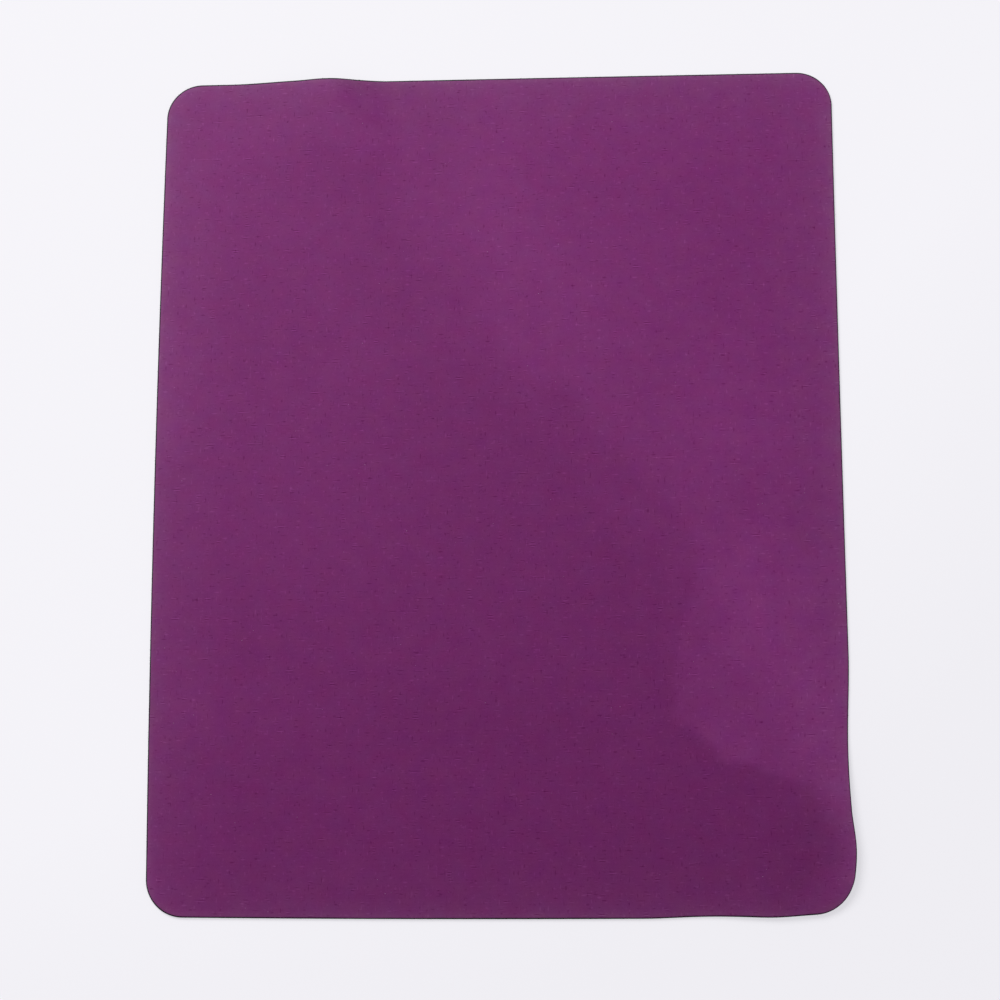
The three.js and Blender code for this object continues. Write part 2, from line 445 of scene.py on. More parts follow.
def grid_lines(half, steps, refinement=1):
    centre = half - PAD.corner
    corner = np.linspace(0, 1, CORNER_STEPS * refinement + 1)[1:]
    middle = np.linspace(-centre, centre, steps * refinement + 1)
    at = np.concatenate([np.full(len(corner), -centre), middle, np.full(len(corner), centre)])
    into = np.concatenate([-corner[::-1], np.zeros(len(middle)), corner])
    return np.stack([at, into], axis=1)


def sheet_points(columns, rows, inset):
    """Places on the flat sheet, for an outline drawn in by inset, with its corners rounded."""
    radius = PAD.corner - inset
    a, b = columns[..., 1], rows[..., 1]
    u = columns[..., 0] + radius * a * np.sqrt(1 - b * b / 2)
    v = rows[..., 0] + radius * b * np.sqrt(1 - a * a / 2)
    return u, v


def rim_lines():
    """The outline's columns and rows, once round the sheet from its front left corner."""
    columns = grid_lines(HALF_WIDTH, COLUMN_STEPS, RIM_REFINEMENT)
    rows = grid_lines(HALF_LENGTH, ROW_STEPS, RIM_REFINEMENT)
    front, back = rows[:1], rows[-1:]
    left, right = columns[:1], columns[-1:]
    across, along = len(columns) - 1, len(rows) - 1
    round_columns = [columns[:-1], right.repeat(along, 0), columns[:0:-1], left.repeat(along, 0)]
    round_rows = [front.repeat(across, 0), rows[:-1], back.repeat(across, 0), rows[:0:-1]]
    return np.concatenate(round_columns), np.concatenate(round_rows)


RIM_COLUMNS, RIM_ROWS = rim_lines()


def rim_points(inset):
    return sheet_points(RIM_COLUMNS, RIM_ROWS, inset)


def centring_shift():
    """How far the form is shifted to have its middle where the CAD's box has it."""
    x, y = plan_of(*rim_points(0))
    low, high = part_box("rubber_base")
    return (low.x + high.x - x.min() - x.max()) / 2, (low.y + high.y - y.min() - y.max()) / 2


SHIFT_X, SHIFT_Y = centring_shift()


def placed(u, v, height):
    """Points of the finished pad, at a height over the sheet's underside."""
    x, y = plan_of(u, v)
    z = height + lift_at(u, v) + ripple_at(u, v)
    return np.stack([x + SHIFT_X, y + SHIFT_Y, z], axis=1)


def rim_noise(size, seed):
    """The wander of a cut round the whole outline."""
    return wander(*rim_points(0), size, seed)


def cut_inset(setback):
    """How far in a layer is cut: it wanders, and leaves more rubber bare at the left and back."""
    outer, inner = np.array(rim_points(0)), np.array(rim_points(MM))
    facing = (outer - inner) / MM
    barer = CUT.back_lip * np.maximum(facing[1], 0) - CUT.slip * facing[0]
    return setback + barer + CUT.wander * rim_noise(CUT.wander_length, CUT_SEED)


def add_measure(mesh, name, values):
    """A number for each point of a mesh, which a material can read."""
    attribute = mesh.attributes.new(name, "FLOAT", "POINT")
    attribute.data.foreach_set("value", np.asarray(values, np.float32))


class Layer:
    """The points and faces of one layer of the pad, as a closed mesh."""

    def __init__(self):
        self.places = []
        self.points = []
        self.faces = []
        self.count = 0

    def add(self, u, v, height):
        first = self.count
        self.places.append(np.stack([u, v], axis=1))
        self.points.append(placed(u, v, height))
        self.count += len(u)
        return np.arange(first, self.count)

    def add_face(self, inset, height, upwards):
        """One face of the layer over the whole grid. Returns the points of its border."""
        columns = grid_lines(HALF_WIDTH, COLUMN_STEPS)
        rows = grid_lines(HALF_LENGTH, ROW_STEPS)
        shape = (len(columns), len(rows), 2)
        all_columns = np.broadcast_to(columns[:, None], shape).reshape(-1, 2)
        all_rows = np.broadcast_to(rows[None, :], shape).reshape(-1, 2)
        index = self.add(*sheet_points(all_columns, all_rows, inset), height).reshape(shape[:2])
        corners = [index[:-1, :-1], index[1:, :-1], index[1:, 1:], index[:-1, 1:]]
        quads = np.stack([c.ravel() for c in corners], axis=1)
        self.faces += (quads if upwards else quads[:, ::-1]).tolist()
        return np.concatenate([index[:-1, 0], index[-1, :-1], index[:0:-1, -1], index[0, :0:-1]])

    def add_rim(self, inset, height):
        """One fine ring of points round the sheet. Inset and height may differ round it."""
        return self.add(*rim_points(inset), height)

    def join_rims(self, rims):
        """The walls between rings that lie one above the other."""
        for lower, upper in zip(rims, rims[1:]):
            quads = [lower, np.roll(lower, -1), np.roll(upper, -1), upper]
            self.faces += np.stack(quads, axis=1).tolist()

    def join_face(self, border, rim, upwards):
        """Joins a face's border to a ring that has more points, by fans of triangles."""
        half = RIM_REFINEMENT // 2
        for n, (a, b) in enumerate(zip(border, np.roll(border, -1))):
            fine = [rim[(n * RIM_REFINEMENT + k) % len(rim)] for k in range(RIM_REFINEMENT + 1)]
            fans = [(a, fine[k], fine[k + 1]) for k in range(half)]
            fans.append((a, fine[half], b))
            fans += [(b, fine[k], fine[k + 1]) for k in range(half, RIM_REFINEMENT)]
            self.faces += [f if upwards else f[::-1] for f in fans]

    def close(self, rims, inset, low, high):
        """The lower face, the walls and the upper face, joined into one closed shell."""
        self.join_face(self.add_face(inset, low, upwards=False), rims[0], upwards=False)
        self.join_rims(rims)
        self.join_face(self.add_face(inset, high, upwards=True), rims[-1], upwards=True)

    def finish(self, name):
        """The mesh object, with the flat sheet as its UV map and the distance from the cut."""
        places = np.concatenate(self.places)
        mesh = bpy.data.meshes.new(name)
        mesh.from_pydata(np.concatenate(self.points).tolist(), [], self.faces)
        corners = np.zeros(len(mesh.loops), np.int32)
        mesh.loops.foreach_get("vertex_index", corners)
        mesh.uv_layers.new(name="cut").data.foreach_set("uv", places[corners].ravel())
        add_measure(mesh, "from_cut", from_cut(*places.T))
        mesh.shade_smooth()
        return show(name, mesh), places


# The three layers.

FACE_INSET = CUT.cloth_setback + CUT.pressed_width


def make_cloth():
    """The woven face, whose rim the die presses down into a rounded shoulder."""
    layer = Layer()
    fray = CUT.roughness * rim_noise(CUT.fray_length, CLOTH_FRAY_SEED)
    cut = cut_inset(CUT.cloth_setback)
    wall_top = TOP.cloth - CUT.pressed_depth
    rims = [layer.add_rim(cut + fray, TOP.bond), layer.add_rim(cut, wall_top)]
    for k in range(1, SHOULDER_STEPS):
        turn = math.pi / 2 * k / SHOULDER_STEPS
        inset = cut + (FACE_INSET - cut) * (1 - math.cos(turn))
        rims.append(layer.add_rim(inset, wall_top + CUT.pressed_depth * math.sin(turn)))
    layer.close(rims, FACE_INSET, TOP.bond, TOP.cloth)
    piece, places = layer.finish("cloth_face")
    # The cloth carries its nap together with the painted sheen and shade, for its material to read.
    add_measure(piece.data, "nap_and_painted_light", nap_and_painted_light_at(*places.T))
    return piece


def make_film():
    """The film between cloth and rubber, squeezed out a little along the cut."""
    layer = Layer()
    cut = cut_inset(CUT.film_setback)
    bead = cut + CUT.film_squeeze * rim_noise(CUT.fray_length, FILM_SEED)
    rims = [layer.add_rim(cut, TOP.rubber), layer.add_rim(bead, TOP.bond)]
    layer.close(rims, FACE_INSET, TOP.rubber, TOP.bond)
    return layer.finish("bond_line")[0]


def make_rubber():
    """The foam sheet. The die leaves its wall a little hollow and rough, and its lip rounded."""
    layer = Layer()
    wall_foot = STUD.height + CUT.lip_rounding
    wall_head = TOP.rubber - CUT.lip_rounding
    rims = [layer.add_rim(CUT.lip_rounding, STUD.height)]
    for k in range(WALL_STEPS + 1):
        share = k / WALL_STEPS
        height = wall_foot + (wall_head - wall_foot) * share
        rough = CUT.roughness * (1 + rim_noise(CUT.fray_length, height / CUT.fray_length)) / 2
        rims.append(layer.add_rim(CUT.wall_hollow * math.sin(math.pi * share) + rough, height))
    rims.append(layer.add_rim(CUT.lip_rounding, TOP.rubber))
    layer.close(rims, FACE_INSET, STUD.height, TOP.rubber)
    return layer.finish("rubber_foam")[0]


def make_bed():
    """The rubber's underside alone, for the studs to stand on."""
    layer = Layer()
    layer.add_face(0, STUD.height, upwards=False)
    return layer.finish("bed")[0]


def nap_and_painted_light_edge():
    """Points close together along the edge of the brushed patch with its painted sheen, and the
    softness there.
    """
    corners = np.array(NAP_AND_PAINTED_LIGHT_EDGE) * MM
    shares = np.linspace(0, 1, NAP_AND_PAINTED_LIGHT_EDGE_STEPS, endpoint=False)[:, None]
    runs = [a + (b - a) * shares for a, b in zip(corners, corners[1:])]
    return np.concatenate(runs + [corners[-1:]])


def from_line(place, start, end):
    """How far each place lies from a straight line, and on which side of it."""
    run, offset = end - start, place - start
    share = np.clip(offset @ run / (run @ run), 0, 1)
    distance = np.hypot(*(offset - share[:, None] * run).T)
    return distance, np.sign(run[0] * offset[:, 1] - run[1] * offset[:, 0])


def stroked(place, strokes):
    """The strokes' effect at each place, all together."""
    effect = np.zeros(len(place))
    for start, end, reach, strength in strokes:
        distance, _ = from_line(place, np.array(start) * MM, np.array(end) * MM)
        effect += strength * hill(distance / (reach * MM))
    return effect


def nap_and_painted_light_at(u, v):
    """How far the cloth's nap is brushed up, and how much painted sheen and shade lie on it: above
    0 it looks lighter. Below 0 it lies flat, with painted shade.
    """
    edge = nap_and_painted_light_edge()
    shifts = [wander(u, v, NAP_AND_PAINTED_LIGHT_WANDER_LENGTH, seed) for seed in NAP_AND_PAINTED_LIGHT_SEEDS]
    place = np.stack([u, v], axis=1) + NAP_AND_PAINTED_LIGHT_WANDER * np.stack(shifts, axis=1)
    nearest = np.full(len(u), np.inf)
    beyond, soft = np.zeros(len(u)), np.ones(len(u))
    for start, end in zip(edge, edge[1:]):
        distance, side = from_line(place, start[:2], end[:2])
        closer = distance < nearest
        nearest = np.where(closer, distance, nearest)
        beyond = np.where(closer, side * distance, beyond)
        soft = np.where(closer, start[2], soft)
    patch = climb(1 / 2 + beyond / soft) * (NAP_AND_PAINTED_LIGHT_LEVEL + stroked(place, PATCH_NAP_AND_LIGHT_STROKES))
    return patch + stroked(place, FREE_NAP_AND_LIGHT_STROKES)


# Small helps for building node trees.


def fill(tree, socket, value):
    """Links an input to the output of another node, or else sets its value."""
    if isinstance(value, bpy.types.NodeSocket):
        tree.links.new(value, socket)
    else:
        socket.default_value = value


def add_outputs(tree, kind, inputs=None, **settings):
    """All outputs of a new node, after its settings are made and its inputs are filled."""
    node = tree.nodes.new(kind)
    for name, value in settings.items():
        setattr(node, name, value)
    for socket, value in (inputs or {}).items():
        fill(tree, node.inputs[socket], value)
    return node.outputs


def add_node(tree, kind, inputs=None, output=0, **settings):
    """One output of a new node, by name or by number."""
    return add_outputs(tree, kind, inputs, **settings)[output]


def reckon(tree, operation, *values):
    """The result of a Math node."""
    return add_node(tree, "ShaderNodeMath", dict(enumerate(values)), operation=operation)


def times(tree, a, b):
    return reckon(tree, "MULTIPLY", a, b)


def times_plus(tree, a, b, c):
    return reckon(tree, "MULTIPLY_ADD", a, b, c)


def centred(tree, share):
    """A share of 0 to 1, brought to -1/2 to 1/2."""
    return reckon(tree, "SUBTRACT", share, 0.5)


def reckon_vector(tree, operation, *values, **inputs):
    """The result of a Vector Math node."""
    sockets = {**dict(enumerate(values)), **inputs}
    return add_node(tree, "ShaderNodeVectorMath", sockets, operation=operation)


def in_steps(tree, place, size):
    """A place as a number of steps of one size."""
    return reckon_vector(tree, "SCALE", place, Scale=reckon(tree, "DIVIDE", 1.0, size))


def remap(tree, value, low, high, to_low=0.0, to_high=1.0, way="LINEAR"):
    """A value brought from one range to another, and kept inside it."""
    inputs = {0: value, 1: low, 2: high, 3: to_low, 4: to_high}
    return add_node(tree, "ShaderNodeMapRange", inputs, interpolation_type=way)


def split(tree, vector):
    return add_outputs(tree, "ShaderNodeSeparateXYZ", {0: vector})


def join(tree, x=0.0, y=0.0, z=0.0):
    return add_node(tree, "ShaderNodeCombineXYZ", {0: x, 1: y, 2: z})


def noise_at(tree, place, scale=1.0, detail=2.0, output=0, **settings):
    inputs = {"Vector": place, "Scale": scale, "Detail": detail}
    return add_node(tree, "ShaderNodeTexNoise", inputs, output, **settings)


def mix_colours(tree, share, base, other, clamped=True):
    inputs = {0: share, 6: base, 7: other}
    return add_node(tree, "ShaderNodeMix", inputs, 2, data_type="RGBA", clamp_factor=clamped)


def measure_of(tree, name):
    """A number that the mesh carries."""
    return add_node(tree, "ShaderNodeAttribute", output="Fac", attribute_name=name)


def add_socket(group, name, way, given):
    """A socket of a node group: given is its type, or else the number that it starts with."""
    socket_type = {str: given, int: INTEGER, float: FLOAT}[type(given)]
    made = group.interface.new_socket(name, in_out=way, socket_type=socket_type)
    if not isinstance(given, str):
        made.default_value = given


def new_group(name, inputs, outputs, build, kind="ShaderNodeTree"):
    """A node group with named sockets. build adds its nodes, and returns what it puts out."""
    group = bpy.data.node_groups.new(name, kind)
    for socket, given in inputs.items():
        add_socket(group, socket, "INPUT", given)
    for socket, given in outputs.items():
        add_socket(group, socket, "OUTPUT", given)
    made = build(group, group.nodes.new("NodeGroupInput").outputs)
    result = group.nodes.new("NodeGroupOutput")
    for socket, value in zip(outputs, made):
        group.links.new(value, result.inputs[socket])
    return group


def use(tree, group, **inputs):
    """A node group in a tree. An input's spaces are written as underscores."""
    sockets = {name.replace("_", " "): value for name, value in inputs.items()}
    return add_outputs(tree, "ShaderNodeGroup", sockets, node_tree=group)


# Effects that the materials share, as node groups.


def plain_weave(tree, given):
    """Each thread is round, and bows over one neighbour and under the next."""
    axes = split(tree, in_steps(tree, given["Vector"], given["Thread Pitch"]))
    rounds, numbers = [], []
    for axis in axes[:2]:
        across = times_plus(tree, reckon(tree, "FRACT", axis), 2.0, -1.0)
        rounds.append(reckon(tree, "SUBTRACT", 1.0, times(tree, across, across)))
        numbers.append(reckon(tree, "FLOOR", axis))
    bows = [times_plus(tree, r, WEAVE_BOW, 1 - WEAVE_BOW) for r in rounds]
    warp = times(tree, rounds[0], bows[1])
    weft = times(tree, rounds[1], bows[0])
    on_top = reckon(tree, "FLOORED_MODULO", reckon(tree, "ADD", *numbers), 2.0)
    height = add_node(tree, "ShaderNodeMix", {0: on_top, 2: weft, 3: warp})
    return [height]


def streaks(tree, given):
    """Short streaks: noise drawn out along one direction, with only its peaks kept."""
    steps = join(tree, given["Size Across"], given["Size Along"], 1.0)
    place = reckon_vector(tree, "DIVIDE", given["Vector"], steps)
    patchy = noise_at(tree, place, detail=0.0, noise_dimensions="2D")
    ceiling = reckon(tree, "ADD", given["Threshold"], STREAK_SOFTNESS)
    return [remap(tree, patchy, given["Threshold"], ceiling, way="SMOOTHSTEP")]


def uneven_tone(tree, given):
    """A colour made lighter and darker by noise of one size."""
    place = in_steps(tree, given["Vector"], given["Size"])
    share = noise_at(tree, place, detail=given["Detail"])
    tone = times_plus(tree, centred(tree, share), given["Strength"], 1.0)
    return reckon_vector(tree, "SCALE", given["Colour"], Scale=tone), share


def foam_pores(tree, given):
    """The open pores of foamed rubber: round pits with thin walls between them."""
    place = in_steps(tree, given["Vector"], given["Pore Size"])
    cell = add_node(tree, "ShaderNodeTexVoronoi", {"Vector": place, "Scale": 1.0})
    return [remap(tree, cell, *reach, way="SMOOTHSTEP") for reach in (PORE_PIT, PORE_RIM)]


def cut_edge(tree, given):
    """An effect that is strongest at the cut edge and fades, unevenly, over some reach."""
    patchy = noise_at(tree, in_steps(tree, given["Vector"], given["Reach"]), EDGE_NOISE_SCALE)
    reach = times(tree, given["Reach"], reckon(tree, "ADD", patchy, 0.5))
    return [remap(tree, given["From Cut"], 0.0, reach, 1.0, 0.0, way="SMOOTHSTEP")]


WEAVE = new_group(
    "plain weave", {"Vector": VECTOR, "Thread Pitch": THREAD_PITCH}, {"Height": FLOAT}, plain_weave)
STREAKS = new_group(
    "streaks",
    {"Vector": VECTOR, "Size Across": 3 * MM, "Size Along": 0.4 * MM, "Threshold": 0.7},
    {"Share": FLOAT}, streaks)
TONE = new_group(
    "uneven tone",
    {"Colour": COLOUR, "Vector": VECTOR, "Size": 5 * MM, "Strength": 0.1, "Detail": 2.0},
    {"Colour": COLOUR, "Share": FLOAT}, uneven_tone)
PORES = new_group(
    "foam pores", {"Vector": VECTOR, "Pore Size": PORE_SIZE}, {"Height": FLOAT, "Rim": FLOAT},
    foam_pores)
CUT_EDGE = new_group(
    "cut edge", {"Vector": VECTOR, "From Cut": 0.0, "Reach": 5 * MM}, {"Share": FLOAT}, cut_edge)


# The materials.


def connect(tree, shader, **sources):
    """Fills a shader's sockets. An underscore stands for a space in a socket's name."""
    for socket, source in sources.items():
        fill(tree, shader.inputs[socket.replace("_", " ")], source)


def new_material(name, **sockets):
    """A material with its shader's own sockets set."""
    material = bpy.data.materials.new(name)
    material.use_nodes = True
    tree = material.node_tree
    shader = tree.nodes["Principled BSDF"]
    connect(tree, shader, **sockets)
    return material, tree, shader


def object_place(tree):
    return add_node(tree, "ShaderNodeTexCoord", output="Object")


def bump(tree, height, distance):
    return add_node(tree, "ShaderNodeBump", {"Height": height, "Distance": distance})


def cloth_dye(tree, place):
    """The cloth's colour before its threads show: brushed, with painted sheen and shade, and paler
    at the rim from fuzz and painted sheen, more so towards the back.
    """
    colour = mix_colours(tree, measure_of(tree, "nap_and_painted_light"), CLOTH_COLOUR, NAP_AND_SHEEN_COLOUR, clamped=False)
    distance = measure_of(tree, "from_cut")
    sheen_towards_back = remap(
        tree, split(tree, place)[1], -HALF_LENGTH, HALF_LENGTH, RIM_SHEEN_SHARE_IN_FRONT,
        RIM_SHEEN_SHARE_AT_BACK)
    for rim_fuzz_and_sheen_colour, reach, share in RIM_FUZZ_AND_SHEEN_BANDS:
        edge = use(tree, CUT_EDGE, Vector=place, From_Cut=distance, Reach=reach)
        paler_with_sheen = times(tree, edge["Share"], times(tree, sheen_towards_back, share))
        colour = mix_colours(tree, paler_with_sheen, colour, rim_fuzz_and_sheen_colour)
    return colour


def apart(tree, place, number):
    """The same place in another part of the noise, so that no two effects look alike."""
    return reckon_vector(tree, "ADD", place, (number * PAD.width, number * PAD.length, 0))


def cloth_flecks(tree, place):
    """How much lighter or darker the flecks are, all kinds together."""
    total = 0.0
    for number, (across, along, rareness, strength) in enumerate(FLECKS):
        flecks = use(
            tree, STREAKS, Vector=apart(tree, place, number), Size_Across=across,
            Size_Along=along, Threshold=rareness)
        total = times_plus(tree, flecks["Share"], strength, total)
    return total


def cloth_ribs(tree, place):
    """How much lighter or darker the ribs are, in their patches."""
    turns = times(tree, split(tree, place)[1], 2 * math.pi / RIB_PITCH)
    patches = use(
        tree, STREAKS, Vector=place, Size_Across=RIB_PATCH_WIDTH, Size_Along=RIB_PATCH_LENGTH,
        Threshold=RIB_RARENESS)
    ribs = times(tree, reckon(tree, "SINE", turns), patches["Share"])
    return times(tree, ribs, RIB_STRENGTH)


def uneven_share(tree, place, size, number):
    """Noise of one size, from about -1/2 to 1/2."""
    toned = use(
        tree, TONE, Vector=apart(tree, place, number), Size=size, Detail=UNEVEN_DETAIL)
    return centred(tree, toned["Share"])


def cloth_hue(tree, place):
    """What the dye's hue multiplies the colour by."""
    redder = uneven_share(tree, place, HUE_PATCH, HUE_SEED)
    duller = uneven_share(tree, place, HUE_PATCH, DULLNESS_SEED)
    changes = ((redder, HUE_STRENGTH), (duller, DULL_STRENGTH), (redder, -HUE_STRENGTH))
    return join(tree, *[times_plus(tree, share, strength, 1.0) for share, strength in changes])


def make_cloth_material():
    """Deep purple woven polyester with a short nap and painted sheen and shade, greyer and paler
    along the cut.
    """
    material, tree, shader = new_material(
        "purple cloth", Specular_IOR_Level=0.07, Sheen_Weight=0.02, Sheen_Roughness=0.5)
    place = add_node(tree, "ShaderNodeUVMap", uv_map="cut")
    flecks = cloth_flecks(tree, place)
    tone = reckon(tree, "ADD", cloth_ribs(tree, place), flecks)
    for number, (size, strength) in enumerate(UNEVEN_TONES):
        tone = times_plus(tree, uneven_share(tree, place, size, number), strength, tone)
    fuzz = reckon_vector(tree, "MULTIPLY_ADD", FUZZ_TONE, join(tree, tone, tone, tone), (1, 1, 1))
    dyed = reckon_vector(tree, "MULTIPLY", cloth_dye(tree, place), cloth_hue(tree, place))
    weave = use(tree, WEAVE, Vector=place, Thread_Pitch=THREAD_PITCH)
    relief = times_plus(tree, flecks, FLECK_RELIEF, weave["Height"])
    connect(
        tree, shader, Base_Color=reckon_vector(tree, "MULTIPLY", dyed, fuzz),
        Roughness=remap(tree, weave["Height"], 0.0, 1.0, *CLOTH_ROUGHNESS),
        Normal=bump(tree, relief, WEAVE_RELIEF))
    return material


def make_fluff_material(name, tones, size, strength, relief=None, **sockets):
    """Loose threads or specks, each a little lighter or darker than the next."""
    material, tree, shader = new_material(name, Sheen_Weight=0.2, **sockets)
    colour = mix_colours(tree, measure_of(tree, "tone"), *tones)
    toned = use(
        tree, TONE, Colour=colour, Vector=object_place(tree), Size=size, Strength=strength)
    connect(tree, shader, Base_Color=toned["Colour"])
    if relief:
        connect(tree, shader, Normal=bump(tree, toned["Share"], relief))
    return material


def make_film_material():
    """Milky hot-melt film, dulled by dust where the cut bares it."""
    material, tree, shader = new_material("bond film", Roughness=0.5, Specular_IOR_Level=0.4)
    place = object_place(tree)
    dusty = use(tree, TONE, Colour=FILM_COLOUR, Vector=place, Size=2 * MM, Strength=0.5, Detail=4)
    wavy = bump(tree, dusty["Share"], FILM_RELIEF)
    connect(tree, shader, Base_Color=dusty["Colour"], Normal=wavy)
    return material


def make_rubber_material():
    """Matt foamed rubber, dusted grey along its cut."""
    material, tree, shader = new_material("foamed rubber", Specular_IOR_Level=0.25)
    place = object_place(tree)
    pores = use(tree, PORES, Vector=place, Pore_Size=PORE_SIZE)
    distance = measure_of(tree, "from_cut")
    edge = use(tree, CUT_EDGE, Vector=place, From_Cut=distance, Reach=WEAR_REACH)
    pored = mix_colours(tree, pores["Rim"], RUBBER_COLOUR, PORE_RIM_COLOUR)
    worn_share = times(tree, edge["Share"], WORN_SHARE)
    worn = mix_colours(tree, worn_share, pored, WORN_RUBBER_COLOUR)
    mottled = use(tree, TONE, Colour=worn, Vector=place, Size=6 * MM, Strength=0.5)
    connect(
        tree, shader, Base_Color=mottled["Colour"],
        Roughness=remap(tree, mottled["Share"], *MOTTLE_SPREAD, *RUBBER_ROUGHNESS),
        Normal=bump(tree, pores["Height"], PORE_RELIEF))
    return material


def make_stud_material():
    """The same rubber, moulded smooth, with tips that the table has polished and dusted."""
    material, tree, shader = new_material("moulded rubber", Specular_IOR_Level=0.4)
    place = object_place(tree)
    mottled = use(tree, TONE, Colour=PORE_RIM_COLOUR, Vector=place, Size=4 * MM, Strength=0.7)
    dusty = use(
        tree, STREAKS, Vector=place, Size_Across=DUST_PATCH, Size_Along=DUST_PATCH,
        Threshold=0.5)
    dust_share = times(tree, dusty["Share"], DUST_SHARE)
    connect(
        tree, shader,
        Base_Color=mix_colours(tree, dust_share, mottled["Colour"], DUSTY_RUBBER_COLOUR),
        Roughness=remap(tree, mottled["Share"], *MOTTLE_SPREAD, *STUD_ROUGHNESS))
    return material


# What repeats, as geometry node trees.


def new_growth(name, build, seed, smooth=True, **measures):
    """A geometry tree with its measures and seed as inputs. build returns what grows."""

    def finished(tree, given):
        parts = {"Geometry": build(tree, given), "Shade Smooth": smooth}
        shaded = add_node(tree, "GeometryNodeSetShadeSmooth", parts)
        coated = {"Geometry": shaded, "Material": given["Material"]}
        return [add_node(tree, "GeometryNodeSetMaterial", coated)]

    inputs = {key.replace("_", " ").title(): size for key, size in measures.items()}
    sockets = {"Geometry": GEOMETRY, **inputs, "Seed": seed, "Material": MATERIAL}
    return new_group(name, sockets, {"Geometry": GEOMETRY}, finished, "GeometryNodeTree")


def named(tree, name, kind="FLOAT"):
    return add_node(tree, "GeometryNodeInputNamedAttribute", {"Name": name}, data_type=kind)


def tagged(tree, geometry, name, value, kind="FLOAT", domain="POINT"):
    """The geometry with a value stored on it under a name."""
    inputs = {"Geometry": geometry, "Name": name, "Value": value}
    return add_node(
        tree, "GeometryNodeStoreNamedAttribute", inputs, data_type=kind, domain=domain)


def moved(tree, geometry, **inputs):
    """The geometry with its points moved by an Offset, or to a Position."""
    return add_node(tree, "GeometryNodeSetPosition", {"Geometry": geometry, **inputs})


def random_value(tree, given, number, kind, limits, output):
    """A random value for each part. The number tells apart the draws that share one seed."""
    inputs = {**limits, "Seed": reckon(tree, "ADD", given["Seed"], number)}
    return add_node(tree, "FunctionNodeRandomValue", inputs, output, data_type=kind)


def random_number(tree, given, number, low=0.0, high=1.0):
    return random_value(tree, given, number, "FLOAT", {2: low, 3: high}, 1)


def random_turn(tree, given, number, low, high):
    """A random rotation, its three turns between two sets of angles."""
    angles = random_value(tree, given, number, "FLOAT_VECTOR", {0: low, 1: high}, 0)
    return add_node(tree, "FunctionNodeEulerToRotation", {0: angles})


def noise_shift(tree, size, strength):
    """A shift by noise of one size, the same each time."""
    place = add_node(tree, "GeometryNodeInputPosition")
    scaled = reckon_vector(tree, "SCALE", place, Scale=1 / size)
    colour = noise_at(tree, scaled, output="Color")
    middle = reckon_vector(tree, "SUBTRACT", colour, (0.5, 0.5, 0.5))
    return reckon_vector(tree, "SCALE", middle, Scale=strength)


def realized(tree, instances):
    return add_node(tree, "GeometryNodeRealizeInstances", {"Geometry": instances})


def instanced(tree, points, part, turn, **inputs):
    """A part set at points, each with its own turn."""
    inputs = {"Points": points, "Instance": part, "Rotation": turn, **inputs}
    return add_node(tree, "GeometryNodeInstanceOnPoints", inputs)


def realized_with_tones(tree, given, instances):
    """Separate parts, each with a random tone of its own, which its material reads."""
    tone = random_number(tree, given, 3.0)
    return realized(tree, tagged(tree, instances, "tone", tone, domain="INSTANCE"))


def stud_points(tree, given, place):
    """The points of a flat grid, with every second row staggered."""
    row_pitch = times(tree, given["Pitch"], math.sqrt(3) / 2)
    across = reckon(tree, "ROUND", reckon(tree, "DIVIDE", given["Width"], given["Pitch"]))
    along = reckon(tree, "ROUND", reckon(tree, "DIVIDE", given["Length"], row_pitch))
    size_along = times(tree, along, row_pitch)
    grid = add_node(tree, "GeometryNodeMeshGrid", {
        "Size X": times(tree, across, given["Pitch"]), "Size Y": size_along,
        "Vertices X": reckon(tree, "ADD", across, 1.0),
        "Vertices Y": reckon(tree, "ADD", along, 1.0),
    })
    from_front = times_plus(tree, size_along, 0.5, split(tree, place)[1])
    row = reckon(tree, "ROUND", reckon(tree, "DIVIDE", from_front, row_pitch))
    stagger = centred(tree, reckon(tree, "FLOORED_MODULO", row, 2.0))
    shift = times(tree, times(tree, stagger, 0.5), given["Pitch"])
    return moved(tree, grid, Offset=join(tree, shift))


def stand_studs(tree, given):
    """Staggered rows of small studs, stood on a sheet by way of its flat map."""
    place = add_node(tree, "GeometryNodeInputPosition")

    def on_sheet(value, kind="FLOAT_VECTOR"):
        inputs = {
            "Mesh": given["Geometry"], "Value": value,
            "UV Map": named(tree, "cut", "FLOAT_VECTOR"), "Sample UV": place,
        }
        return add_node(tree, "GeometryNodeSampleUVSurface", inputs, data_type=kind)

    points = stud_points(tree, given, place)
    distance = on_sheet(named(tree, "from_cut"), "FLOAT")
    outside = reckon(tree, "LESS_THAN", distance, given["Margin"])
    kept = add_node(
        tree, "GeometryNodeDeleteGeometry", {"Geometry": points, "Selection": outside})
    normal = on_sheet(add_node(tree, "GeometryNodeInputNormal"))
    facing = tagged(tree, kept, "facing", normal, "FLOAT_VECTOR")
    seated = moved(tree, facing, Position=on_sheet(place))
    stud = add_node(tree, "GeometryNodeMeshCone", {
        "Vertices": STUD_SIDES, "Radius Top": given["Tip Radius"],
        "Radius Bottom": given["Base Radius"],
        "Depth": reckon(tree, "ADD", given["Height"], given["Sink"]),
    })
    sunk = moved(tree, stud, Offset=join(tree, z=times(tree, given["Sink"], -1.0)))
    turn = add_node(
        tree, "FunctionNodeAlignRotationToVector",
        {"Vector": named(tree, "facing", "FLOAT_VECTOR")}, axis="Z")
    solid = realized(tree, instanced(tree, seated, sunk, turn))
    return add_node(
        tree, "GeometryNodeRemoveAttribute", {"Geometry": solid, "Name": "facing"})


